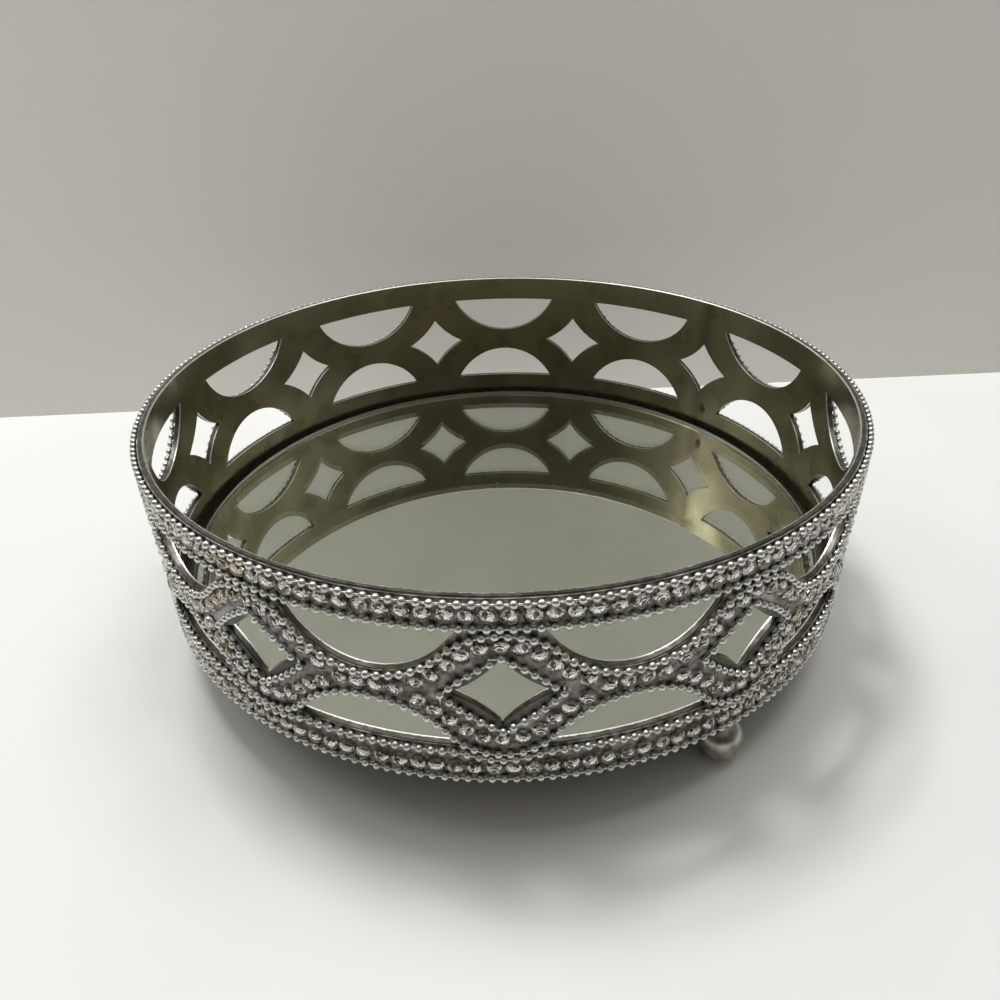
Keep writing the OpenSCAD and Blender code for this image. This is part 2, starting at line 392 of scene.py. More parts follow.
@dataclass(frozen=True)
class Finish:
    """A finish, which builds its own material."""

    name: str

    def build(self) -> Material:
        """Makes the material.

        Returns:
            A material whose tree ends in the finish's surface.
        """
        material = bpy.data.materials.new(self.name)
        material.use_nodes = True
        material.node_tree.nodes.clear()
        add = partial(add_node, material.node_tree)
        add("ShaderNodeOutputMaterial", self.surface(add))
        return material

    def surface(self, add: Adder) -> Socket:
        """Draws the finish and returns its shader."""
        raise NotImplementedError

    @staticmethod
    def grain(add: Adder, size_mm: float, detail: float = 2.0, stretch: Triple = (1, 1, 1)) -> Socket:
        """Noise whose features have a real size.

        Args:
            add: Adds a node.
            size_mm: Size of a feature.
            detail: How many finer layers are added.
            stretch: Factor on each axis, above 1 for narrower features.

        Returns:
            Noise from 0 to 1.
        """
        spot = add("ShaderNodeMapping", {"Vector": add(Kind.PLACE), "Scale": stretch})
        return add(Kind.NOISE, spot, 1 / (size_mm * MM), detail)


@dataclass(frozen=True)
class PiercedSheet(Finish):
    """Pierced steel sheet, plated in olive antique nickel and burnished.

    Rolling leaves broad soft clouds on the walls, plating a fine tooth. The rim and the windows' cut edges are painted
    dark, partly as dull metal and partly as painted shade, and their inner arris shows as a thin light line in short
    strokes, a painted highlight. Soldering browned the plating beside the seam. The tooth is drawn coarser than it is,
    so that it shows.
    """

    wall: str = "#b9b295"
    cloud: str = "#9a9376"
    cloud_mm: float = 14.0
    tooth_mm: float = 0.35
    tooth_depth_mm: float = 0.03
    # Painted highlight: the thin light line along the cut edges' inner arris.
    arris: str = "#e6e5df"
    arris_mm: Pair = (100.3, 100.55)
    stroke_mm: float = 0.7
    stroke_reach_mm: float = 0.5
    # Cut edges' tones, painted dark as dull metal and as painted shade.
    cut: str = "#4f4d48"
    dull: str = "#6b6962"
    dull_mm: float = 3.0
    burn: str = "#4a3f28"
    burn_mm: Pair = (0.5, 5.0)
    seam: str = "#26221a"
    seam_mm: float = 0.22
    seam_deg: float = 130.9
    radius_mm: float = 100.8

    def surface(self, add: Adder) -> Socket:
        """Walls, cut edges and the soldered seam.

        Args:
            add: Adds a node.

        Returns:
            The shader.
        """
        x, y, _ = add(Kind.SPLIT, add(Kind.PLACE)).node.outputs
        flat = add(Kind.JOIN, x, y)
        radial = add("ShaderNodeVectorMath", flat, operation="NORMALIZE")
        facing = add("ShaderNodeVectorMath", radial, add(Kind.NORMAL), operation="DOT_PRODUCT").node.outputs["Value"]
        wall = add(Kind.RAMP, add(Sum.SIZE, facing), 0.80, 0.97)
        clouds = add(Kind.RAMP, self.grain(add, self.cloud_mm, 3), 0.35, 0.68)
        turn = add(Sum.ANGLE, x, add(Sum.TIMES, y, -1.0))
        away = add(Sum.SIZE, add(Sum.MINUS, turn, math.radians(self.seam_deg)))
        away_mm = add(Sum.TIMES, away, self.radius_mm)
        seam = add(Kind.RAMP, away_mm, 0, self.seam_mm, 1, 0)
        burn = add(Kind.RAMP, away_mm, *self.burn_mm, 1, 0)
        tone = add(Kind.MIX, clouds, self.wall, self.cloud)
        tone = add(Kind.MIX, add(Sum.TIMES, burn, 0.35), tone, self.burn)
        tone = add(Kind.MIX, add(Sum.TIMES, seam, 0.5), tone, self.seam)
        # Cut edges: painted dark, partly as dull metal and partly as painted shade.
        cut = add(Kind.MIX, add(Kind.RAMP, self.grain(add, self.dull_mm), 0.4, 0.65), self.cut, self.dull)
        # Painted highlight: a thin light line along the cut edges' inner arris, broken into short strokes.
        reach = self.stroke_reach_mm * MM
        strokes = add(Sum.TIMES_PLUS, self.grain(add, self.stroke_mm), reach, add(Kind.LENGTH, flat))
        plated = add(Kind.RAMP, strokes, *(r * MM + reach / 2 for r in self.arris_mm))
        cut = add(Kind.MIX, plated, self.arris, cut)
        tone = add(Kind.MIX, wall, cut, tone)
        rough = add(Sum.PLUS, add(Kind.RAMP, wall, 0, 1, 0.34, 0.22), add(Sum.TIMES, clouds, 0.08))
        height = add(Sum.MINUS, add(Sum.TIMES, self.grain(add, self.tooth_mm, 1), 0.25), seam)
        return add(Kind.COAT, tone, 1.0, rough, add(Kind.BUMP, height, self.tooth_depth_mm * MM, 0.7))


@dataclass(frozen=True)
class PatchedMetal(Finish):
    """Metal under a thin coat that lies in soft patches of two tones, each with a gloss of its own.

    A sprayed coat has the slight bumps of orange peel besides.
    """

    tones: tuple[str, str]
    patch_mm: float
    detail: float
    share: Pair
    metallic: float
    rough: Pair
    peel_mm: float = 0.0
    peel_depth_mm: float = 0.02

    def surface(self, add: Adder) -> Socket:
        """Patches, and orange peel where the coat was sprayed.

        Args:
            add: Adds a node.

        Returns:
            The shader.
        """
        patches = add(Kind.RAMP, self.grain(add, self.patch_mm, self.detail), *self.share)
        coat = [add(Kind.MIX, patches, *self.tones), self.metallic, add(Kind.RAMP, patches, 0, 1, *self.rough)]
        if self.peel_mm:
            coat.append(add(Kind.BUMP, self.grain(add, self.peel_mm, 1), self.peel_depth_mm * MM))
        return add(Kind.COAT, *coat)


# Dull pewter lacquer, sprayed on steel: a soft grey sheen, rubbed paler and smoother in patches.
PEWTER_LACQUER = PatchedMetal("pewter_lacquer", ("#55534a", "#6d6b60"), 18, 4, (0.4, 0.7), 0.55, (0.45, 0.34), 0.9)
# Zinc, plated on steel in a barrel: bright, with a faint spangle.
ZINC_STEEL = PatchedMetal("zinc_plated_steel", ("#b4b5b0", "#8f918e"), 0.8, 2, (0.4, 0.65), 1.0, (0.25, 0.4))
# Soft solder under burnt flux: brown and half glossy.
SOFT_SOLDER = PatchedMetal("soft_solder", ("#8f8468", "#5c4729"), 0.7, 3, (0.35, 0.6), 0.6, (0.3, 0.5))


@dataclass(frozen=True)
class TurnedPewter(Finish):
    """Ball foot: turned brass plated in pewter, with fine rings left by the tool under cloudy plating.

    The rings are drawn wider apart than they are, so that they show.
    """

    bright: str = "#b9b5aa"
    dull: str = "#85817a"
    cloud_mm: float = 3.0
    ring_mm: float = 0.25
    ring_depth_mm: float = 0.02

    def surface(self, add: Adder) -> Socket:
        """Turning rings and clouds.

        Args:
            add: Adds a node.

        Returns:
            The shader.
        """
        rings = self.grain(add, self.ring_mm, 2, (0.02, 0.02, 1))
        clouds = add(Kind.RAMP, self.grain(add, self.cloud_mm, 3), 0.35, 0.7)
        rough = add(Sum.PLUS, add(Sum.TIMES, rings, 0.12), 0.24)
        tone = add(Kind.MIX, clouds, self.bright, self.dull)
        return add(Kind.COAT, tone, 1.0, rough, add(Kind.BUMP, rings, self.ring_depth_mm * MM))


@dataclass(frozen=True)
class SilveredChain(Finish):
    """Ball chain: rolled brass beads, silver-plated, a little dulled, with painted shade and resin grime near the wall.
    """

    bright: str = "#e0e0db"
    dull: str = "#aeada7"
    patch_mm: float = 0.7
    # Painted shade and grime: the beads' inner halves, towards the wall, take this tone.
    root: str = "#5d5c59"
    root_r_mm: float = 102.0
    crown_r_mm: float = 102.7

    def surface(self, add: Adder) -> Socket:
        """Plating that differs from bead to bead, darkened towards the wall by painted shade and grime.

        Args:
            add: Adds a node.

        Returns:
            The shader.
        """
        x, y, _ = add(Kind.SPLIT, add(Kind.PLACE)).node.outputs
        # Painted shade and grime: darker from the bead's crown inwards to the wall.
        free_of_shade_and_grime = add(Kind.RAMP, add(Kind.LENGTH, add(Kind.JOIN, x, y)), self.root_r_mm * MM, self.crown_r_mm * MM)
        patches = add(Kind.RAMP, self.grain(add, self.patch_mm), 0.4, 0.7)
        shade = add(Kind.MARK, attribute_name="shade")
        wear = add(Sum.LARGER, add(Sum.TIMES, shade, 0.7), add(Sum.TIMES, patches, 0.35))
        tone = add(Kind.MIX, free_of_shade_and_grime, self.root, add(Kind.MIX, wear, self.bright, self.dull))
        return add(Kind.COAT, tone, 1.0, add(Sum.PLUS, add(Sum.TIMES, wear, 0.12), 0.28))


@dataclass(frozen=True)
class FoiledCrystal(Finish):
    """Rhinestone: pressed lead crystal with a silver foil back, so light goes in at the crown and comes back split.

    The foil runs on round the girdle as the stone's cup. Its facets are painted bright or dark by their glint, as
    painted highlight and painted shade, and crown facets are partly painted as foil, a painted reflection.
    """

    warm: str = "#fff8ee"
    cool: str = "#fffefb"
    foil_light: str = "#fffdf8"
    foil_dark: str = "#4c463b"
    champagne: str = "#e4d0b0"

    def surface(self, add: Adder) -> Socket:
        """Crystal on the crown, foil on the faces that the stone's foil attribute marks.

        Args:
            add: Adds a node.

        Returns:
            The shader.
        """
        shade, foil, glint = (add(Kind.MARK, attribute_name=name) for name in ("shade", "foil", "glint"))
        crystal = add(Kind.COAT, {
            "Base Color": add(Kind.MIX, shade, self.cool, self.warm), "Roughness": 0.02, "IOR": 1.7,
            "Transmission Weight": 1.0})
        old = add(Kind.RAMP, shade, 0.6, 1.0, 0.0, 0.6)
        # Painted highlight and painted shade: each facet's glint picks a bright or a dark foil tone.
        tone = add(Kind.MIX, glint, self.foil_dark, add(Kind.MIX, old, self.foil_light, self.champagne))
        return add("ShaderNodeMixShader", foil, crystal, add(Kind.COAT, tone, 1.0, 0.14))


@dataclass(frozen=True)
class SettingResin(Finish):
    """Two-part setting resin, filled with silver powder, smeared by hand and cured with a dull lilac skin.

    It is painted dark against the diamonds' outlines, as painted shade under and beside their beads, and palest round
    some of them, where it squeezed out and was wiped.
    The powder is drawn coarser than it is, so that it shows.
    """

    body: str = "#98958a"
    dark: str = "#524f48"
    pale: str = "#c4c2c8"
    # Painted shade under and beside the diamonds' bead loops.
    edge: str = "#4b4943"
    smear_mm: float = 2.2
    powder_mm: float = 0.12
    smear_depth_mm: float = 0.5
    wiped_mm: float = 22.0
    columns: int = 11
    column_mm: float = 58.7
    diamond_mm: Pair = (12.15, 10.6)
    middle_mm: float = 43.83

    def beyond(self, add: Adder) -> Socket:
        """Tells how far a spot lies from the middle of the nearest diamond.

        Args:
            add: Adds a node.

        Returns:
            A number that is 1 on the diamond's outline.
        """
        x, y, z = add(Kind.SPLIT, add(Kind.PLACE)).node.outputs
        turn = add(Sum.ANGLE, x, add(Sum.TIMES, y, -1.0))
        column = add(Sum.TIMES, turn, self.columns / (2 * math.pi))
        across = add(Sum.SIZE, add(Sum.MINUS, column, add(Sum.WHOLE, column)))
        above = add(Sum.SIZE, add(Sum.MINUS, z, self.middle_mm * MM))
        wide, high = self.diamond_mm
        return add(Sum.TIMES_PLUS, across, self.column_mm / wide, add(Sum.OVER, above, high * MM))

    def surface(self, add: Adder) -> Socket:
        """Smears over a fine tooth, with painted shade at the diamonds' outlines, and wiped pale beside some.

        Args:
            add: Adds a node.

        Returns:
            The shader.
        """
        smears = self.grain(add, self.smear_mm, 4)
        out = self.beyond(add)
        some = add(Kind.RAMP, self.grain(add, self.wiped_mm, 1), 0.5, 0.62)
        wiped = add(Sum.TIMES, add(Kind.RAMP, out, 1.2, 1.5, 1, 0), some)
        wiped = add(Sum.TIMES, wiped, add(Kind.RAMP, smears, 0.3, 0.5, 0.4, 1))
        tone = add(Kind.MIX, add(Kind.RAMP, smears, 0.35, 0.62), self.dark, self.body)
        tone = add(Kind.MIX, add(Sum.LARGER, add(Kind.RAMP, smears, 0.6, 0.78), wiped), tone, self.pale)
        # Painted shade: darkened under and just beside the diamonds' bead loops.
        tone = add(Kind.MIX, add(Kind.RAMP, out, 1.1, 1.18, 0.85, 0), tone, self.edge)
        height = add(Sum.PLUS, smears, add(Sum.TIMES, self.grain(add, self.powder_mm, 1), 0.1))
        rough = add(Kind.RAMP, smears, 0.3, 0.7, 0.38, 0.6)
        return add(Kind.COAT, tone, 0.5, rough, add(Kind.BUMP, height, self.smear_depth_mm * MM, 0.8))


@dataclass(frozen=True)
class FloatGlass(Finish):
    """Mirror glass: soda-lime float glass, faintly green, with a ground bevel that scatters light.

    The bevel's grit marks are drawn coarser than they are, so that they show.
    """

    clear: str = "#fcfdfb"
    ground: str = "#e6ece6"
    grit_mm: float = 0.15

    def surface(self, add: Adder) -> Socket:
        """Polished faces and a ground bevel, told apart by how far a face tilts.

        Args:
            add: Adds a node.

        Returns:
            The shader.
        """
        polished = add(Kind.RAMP, add(Sum.SIZE, add(Kind.SPLIT, add(Kind.NORMAL))), 0.9, 0.99)
        grit = add(Kind.RAMP, self.grain(add, self.grit_mm, 1), 0.3, 0.7, 0.16, 0.3)
        return add(Kind.COAT, {
            "Base Color": add(Kind.MIX, polished, self.ground, self.clear), "IOR": 1.52, "Transmission Weight": 1.0,
            "Roughness": add(Sum.TIMES, add(Sum.MINUS, 1.0, polished), grit)})


@dataclass(frozen=True)
class MirrorSilver(Finish):
    """Silver laid on the back of the glass, bright above and under grey backing paint below."""

    silver: str = "#d9dcd2"
    cloud: str = "#d3d6cc"
    cloud_mm: float = 30.0
    paint: str = "#585a58"
    skin_mm: float = 0.6

    def surface(self, add: Adder) -> Socket:
        """Silver on the upper face and paint on the others.

        Args:
            add: Adds a node.

        Returns:
            The shader.
        """
        top = add(Kind.RAMP, add(Kind.SPLIT, add(Kind.NORMAL)), 0.4, 0.6)
        clouds = add(Kind.RAMP, self.grain(add, self.cloud_mm, 3), 0.4, 0.7)
        skin = add(Kind.RAMP, self.grain(add, self.skin_mm), 0.3, 0.7, 0.45, 0.6)
        tone = add(Kind.MIX, top, self.paint, add(Kind.MIX, clouds, self.silver, self.cloud))
        return add(Kind.COAT, tone, top, add(Sum.TIMES, add(Sum.MINUS, 1.0, top), skin))


@dataclass(frozen=True)
class FoamTape(Finish):
    """Closed-cell polyethylene foam tape: white and matt, pitted by its cells."""

    cell: str = "#dcdad2"
    wall: str = "#f0eee8"
    cell_mm: float = 0.5
    cell_depth_mm: float = 0.05

    def surface(self, add: Adder) -> Socket:
        """Cells drawn as rounded pits.

        Args:
            add: Adds a node.

        Returns:
            The shader.
        """
        cells = add("ShaderNodeTexVoronoi", {"Vector": add(Kind.PLACE), "Scale": 1 / (self.cell_mm * MM)})
        tone = add(Kind.MIX, cells, self.cell, self.wall)
        return add(Kind.COAT, {
            "Base Color": tone, "Roughness": 0.85, "Normal": add(Kind.BUMP, cells, self.cell_depth_mm * MM)})


@dataclass(frozen=True)
class PaintedBoard(Finish):
    """Matt painted board of the studio, which lets a camera behind it see through."""

    tone: str
    shade: str = "#c9c8c2"
    roller_mm: float = 60.0
    one_sided: bool = False

    def surface(self, add: Adder) -> Socket:
        """Even paint with a soft roller texture.

        Args:
            add: Adds a node.

        Returns:
            The shader.
        """
        roller = add(Kind.RAMP, self.grain(add, self.roller_mm), 0.3, 0.7, 0.0, 0.08)
        paint = add("ShaderNodeBsdfDiffuse", add(Kind.MIX, roller, self.tone, self.shade))
        if not self.one_sided:
            return paint
        back = add("ShaderNodeNewGeometry").node.outputs["Backfacing"]
        return add("ShaderNodeMixShader", back, paint, add("ShaderNodeBsdfTransparent"))


class Recipe:
    """A Geometry Nodes tree with named inputs, which turns a guide mesh into a finished mesh."""

    def __init__(self, name: str, sockets: dict[str, str]) -> None:
        """Starts the tree.

        Args:
            name: Name of the tree.
            sockets: Input name to its kind of socket, without Blender's NodeSocket in front.
        """
        self.tree = bpy.data.node_groups.new(name, "GeometryNodeTree")
        face = self.tree.interface
        face.new_socket("Guide", in_out="INPUT", socket_type="NodeSocketGeometry")
        face.new_socket("Result", in_out="OUTPUT", socket_type="NodeSocketGeometry")
        self.ids = {
            label: face.new_socket(label, in_out="INPUT", socket_type="NodeSocket" + kind).identifier
            for label, kind in (sockets | {"Finish": "Material"}).items()}
        self.entry = self.tree.nodes.new("NodeGroupInput").outputs
        self.add = partial(add_node, self.tree)

    def close(self, geometry: Socket) -> None:
        """Ends the tree with real geometry that wears the finish."""
        dressed = {"Geometry": self.add("GeometryNodeRealizeInstances", geometry), "Material": self.entry["Finish"]}
        self.add("NodeGroupOutput", self.add("GeometryNodeSetMaterial", dressed))

    def run(self, name: str, guide: Mesh, values: dict) -> Object:
        """Runs the tree on a guide.

        Args:
            name: Name of the piece.
            guide: Mesh that the tree starts from, in place.
            values: Input name to its value.

        Returns:
            An object at the origin with the finished plain mesh.
        """
        host = show(name + "_guide", guide)
        modifier = host.modifiers.new("recipe", "NODES")
        modifier.node_group = self.tree
        for label, value in values.items():
            modifier[self.ids[label]] = value
        graph = bpy.context.evaluated_depsgraph_get()
        mesh = bpy.data.meshes.new_from_object(host.evaluated_get(graph), depsgraph=graph)
        mesh.name = name
        bpy.data.objects.remove(host)
        bpy.data.meshes.remove(guide)
        return show(name, mesh)


def settle(piece: Object, slot: Slot, *nodes: str) -> None:
    """Puts a piece on the tray's body, in place of CAD nodes.

    Args:
        piece: Finished piece at the origin.
        slot: Slot of the record, not used.
        *nodes: CAD nodes that it stands for.
    """
    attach(piece, "root")
    if nodes:
        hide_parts(*nodes)
    LOG.info("%s: %d faces", piece.name, len(piece.data.polygons))


def dress(finish: Finish, *nodes: str) -> None:
    """Gives CAD nodes' own objects a finish.

    Args:
        finish: What they wear.
        *nodes: Names of the nodes.
    """
    material = finish.build()
    for node in nodes:
        body = frame["nodes"][node]
        body.data.materials.clear()
        body.data.materials.append(material)
        LOG.info("%s: %s", node, material.name)


@dataclass
class Gallery:
    """The pierced band, its soldered seam, and the disc that it stands on."""

    pattern: Pattern = Pattern()
    solder_turn: float = 129.6
    solder_level: float = 10.8
    solder_size: Triple = (1.2, 0.25, 1.7)
    lumps_per_mm: float = 0.7
    lump_shift: float = 0.35
    subdivisions: int = 4

    def build(self) -> None:
        """Dresses the metal and lays the solder drop on the inner wall."""
        dress(PiercedSheet("antique_pewter_plate"), "pierced_band")
        dress(PEWTER_LACQUER, "base_plate")
        settle(self.solder(), Slot.BAND)

    def solder(self) -> Object:
        """Makes the lumpy drop of solder.

        Returns:
            A closed lump half sunk into the wall's inner face.
        """
        recipe = Recipe("solder_drop", {"Size": "Vector"})
        add, turn = recipe.add, math.radians(self.solder_turn)
        ball = add("GeometryNodeMeshIcoSphere", {"Radius": MM, "Subdivisions": self.subdivisions})
        where = add("GeometryNodeInputPosition")
        lumps = add(Sum.MINUS, add(Kind.NOISE, where, self.lumps_per_mm / MM, 1.0), self.lump_shift)
        lumpy = add(Kind.SHIFT, ball, add(Kind.SCALE, where, lumps))
        drop = add("GeometryNodeTransform", {"Geometry": lumpy, "Scale": recipe.entry["Size"]})
        smooth = add("GeometryNodeSetShadeSmooth", drop)
        recipe.close(add(Kind.SET_OUT, recipe.entry["Guide"], smooth, (0, 0, turn)))
        radius = self.pattern.band_r - self.pattern.wall_t
        spot = Vector((radius * math.sin(turn), -radius * math.cos(turn), self.pattern.band_z + self.solder_level)) * MM
        return recipe.run("seam_solder", wire("solder_spot", [spot]), {
            "Size": self.solder_size, "Finish": SOFT_SOLDER.build()})


@dataclass
class MirrorFloor:
    """The mirror: glass from the CAD, its silver made anew a hair below the glass, and its foam tape."""

    radius: float = 98.0
    silver_top: float = 17.955
    silver_t: float = 0.07
    sides: int = 192

    def build(self) -> None:
        """Dresses the glass and tape and makes the silver."""
        dress(FloatGlass("float_glass"), "mirror_glass")
        dress(FoamTape("foam_tape_white"), "mirror_tape")
        settle(self.silver(), Slot.SILVER, "mirror_silvering")

    def silver(self) -> Object:
        """Makes the silver.

        Returns:
            A thin closed disc just under the glass.
        """
        n = self.sides
        turns = [2 * math.pi * i / n for i in range(n)]
        ring = [Vector((math.cos(a), math.sin(a), 0)) * self.radius * MM for a in turns]
        top, low = ([v + Vector((0, 0, level * MM)) for v in ring]
                    for level in (self.silver_top, self.silver_top - self.silver_t))
        faces = [tuple(range(n)), tuple(reversed(range(n, 2 * n)))]
        faces += [(i, n + i, n + (i + 1) % n, (i + 1) % n) for i in range(n)]
        mesh = wire("mirror_silver", top + low, [], faces)
        mesh.materials.append(MirrorSilver("chemical_silver").build())
        return show("mirror_silver", mesh)


@dataclass
class BallFeet:
    """The three turned feet and their screws."""

    feet: tuple[str, ...] = ("foot_front_right", "foot_back_right", "foot_left")

    def build(self) -> None:
        """Dresses the feet and screws."""
        dress(TurnedPewter("turned_pewter"), *self.feet)
        dress(ZINC_STEEL, "foot_screws")


@dataclass
class ResinCoat:
    """The resin that holds the trims."""

    nodes: tuple[str, ...] = ("top_ring_resin", "lattice_resin", "bottom_ring_resin")

    def build(self) -> None:
        """Dresses the coat."""
        dress(SettingResin("metal_filled_resin"), *self.nodes)


@dataclass
class BallChains:
    """The rows of ball chain, with their links.

    A bead is drawn plumper than the CAD's by the measure plump and sits deeper in the resin by as much, so that it
    keeps inside the CAD's outer radius. The loops round the diamonds lie wider than the CAD's by spread and bulge,
    against the stones, as the photo's do.
    """

    pattern: Pattern = Pattern()
    bead_sides: int = 10
    bead_rings: int = 7
    bead_least: float = 0.96
    plump: float = 0.09
    link_r: float = 0.28
    link_sides: int = 6
    spread: float = 0.9
    bulge: float = 0.7
    jitter: float = 0.1
    wobble: float = 0.12
    wobble_mm: float = 11.0
    ring_steps: int = 1430
    run_steps: int = 130
    size_seed: int = 3
    shade_seed: int = 17

    @property
    def seat_r(self) -> float:
        """Distance from the axis to the middles of the drawn beads."""
        return self.pattern.chain_r - self.plump

    def recipe(self) -> Recipe:
        """Draws the tree that strings beads and links along a closed guide.

        Returns:
            A recipe with the chain's sizes as inputs.
        """
        lengths = ("Bead Radius", "Link Radius", "Pitch", "Jitter", "Wobble")
        made = Recipe("ball_chain", {"Beads": "Int", **dict.fromkeys(lengths, "Float"), "Seed": "Int"})
        add, entry = made.add, made.entry
        curve = add("GeometryNodeMeshToCurve", entry["Guide"])
        strung = add("GeometryNodeCurveToPoints", {"Curve": curve, "Count": entry["Beads"]}, mode="COUNT")
        tangent, turned = (strung.node.outputs[name] for name in ("Tangent", "Rotation"))
        wander = add(Kind.NOISE, add("GeometryNodeInputPosition"), 1 / (self.wobble_mm * MM), 1.0)
        fall = add("ShaderNodeCombineXYZ", {2: add(Sum.TIMES, add(Sum.TIMES, wander, -1.0), entry["Wobble"])})
        slide = add(Sum.TIMES, add(Kind.RANDOM, -1.0, 1.0, entry["Seed"]), entry["Jitter"])
        offset = add("ShaderNodeVectorMath", add(Kind.SCALE, tangent, slide), fall, operation="ADD")
        laid = add(Kind.SHIFT, strung, offset)
        ball = add("GeometryNodeMeshUVSphere", {
            "Segments": self.bead_sides, "Rings": self.bead_rings, "Radius": entry["Bead Radius"]})
        bead = add("GeometryNodeSetShadeSmooth", ball)
        beads = add(Kind.SET_OUT, laid, bead, turned, add(Kind.RANDOM, self.bead_least, 1.0, self.size_seed))
        rod = add("GeometryNodeMeshCylinder", {
            "Vertices": self.link_sides, "Radius": entry["Link Radius"], "Depth": entry["Pitch"]})
        lift = add("ShaderNodeCombineXYZ", {2: add(Sum.TIMES, entry["Pitch"], 0.5)})
        link = add("GeometryNodeSetShadeSmooth", add("GeometryNodeTransform", {"Geometry": rod, "Translation": lift}))
        both = add("GeometryNodeJoinGeometry", add(Kind.SET_OUT, laid, link, turned))
        made.tree.links.new(beads, both.node.inputs[0])
        made.close(add(Kind.TINT, both, "shade", add(Kind.RANDOM, 0.0, 1.0, self.shade_seed)))
        return made

    def closed_guide(self, name: str, loops: list[list[Vector]]) -> Mesh:
        """Makes a guide of closed loops.

        Args:
            name: Name of the mesh.
            loops: Points of each loop.

        Returns:
            A mesh of edges alone.
        """
        verts, edges = [], []
        for loop in loops:
            first = len(verts)
            verts += loop
            edges += [(first + i, first + (i + 1) % len(loop)) for i in range(len(loop))]
        return wire(name, verts, edges)

    def ring(self, level: float, dips: bool = False) -> list[list[Vector]]:
        """Runs round the whole wall.

        Args:
            level: Height above the foot of the band.
            dips: Whether the run dips under the diamonds.

        Returns:
            One loop.
        """
        p = self.pattern
        spots = [p.around * i / self.ring_steps for i in range(self.ring_steps)]
        return [[p.wall_point(along, level - (p.dip(along) if dips else 0), self.seat_r) for along in spots]]

    def run(self, depth: float, side: int) -> list[list[Vector]]:
        """Runs over all crests and down beside their windows.

        Args:
            depth: Depth of the crests from the level of the arcs' centres.
            side: 1 above the middle line, -1 below it.

        Returns:
            One wavy loop.
        """
        p, loop = self.pattern, []
        length = p.run_length(p.chain_a, depth)
        for c in range(p.columns):
            for i in range(self.run_steps):
                across, up = p.run_point(p.chain_a, depth, 2 * length * (i + 0.5) / self.run_steps - length)
                loop.append(p.wall_point(p.column_w * c + across, p.mid_z + side * up, self.seat_r))
        return [loop]

    def diamonds(self) -> tuple[int, list[list[Vector]]]:
        """Runs round each diamond.

        Returns:
            How many beads a loop has, and the loops.
        """
        p = self.pattern
        wide, high = p.loop[0] + self.spread, p.loop[1]
        each = round(math.hypot(wide, high) / p.bead_pitch)
        corners = [(wide, 0), (0, high), (-wide, 0), (0, -high)]
        loops = []
        for c in range(p.columns):
            loop = []
            for (ax, az), (bx, bz) in zip(corners, corners[1:] + corners[:1]):
                out = Vector((bz - az, ax - bx)).normalized() * self.bulge
                for i in range(each):
                    share, lift = i / each, math.sin(math.pi * i / each)
                    loop.append(p.wall_point(
                        p.column_w * c + ax + (bx - ax) * share + out.x * lift,
                        p.mid_z + az + (bz - az) * share + out.y * lift, self.seat_r))
            loops.append(loop)
        return (len(corners) * each, loops)

    def build(self) -> None:
        """Strings every chain in place of its CAD node."""
        p, made = self.pattern, self.recipe()
        finish = SilveredChain("silver_plated_beads").build()
        around = round(p.around / p.bead_pitch)
        over, under = (p.columns * round(2 * p.run_length(p.chain_a, h) / p.bead_pitch) for h in (p.arch_h, p.under_h))
        rows = {
            "top_ring_upper_chain": (around, self.ring(p.rim_chain_z - self.plump)),
            "top_ring_lower_chain": (around, self.ring(p.upper_strip_chain_z)),
            "bottom_ring_upper_chain": (around, self.ring(p.lower_strip_chain_z, True)),
            "bottom_ring_lower_chain": (around, self.ring(p.foot_chain_z)),
            "arch_chain": (over, self.run(p.arch_h, 1)),
            "underarch_chain": (under, self.run(p.under_h, -1)),
            "diamond_chains": self.diamonds()}
        for number, (node, (count, loops)) in enumerate(rows.items()):
            wobble = 0.0 if node == "bottom_ring_lower_chain" else self.wobble
            piece = made.run(node + "_beads", self.closed_guide(node, loops), {
                "Beads": count, "Bead Radius": (p.bead_r + self.plump) * MM, "Link Radius": self.link_r * MM,
                "Pitch": p.bead_pitch * MM, "Jitter": self.jitter * MM, "Wobble": wobble * MM, "Seed": number,
                "Finish": finish})
            settle(piece, Slot.CHAIN, node)


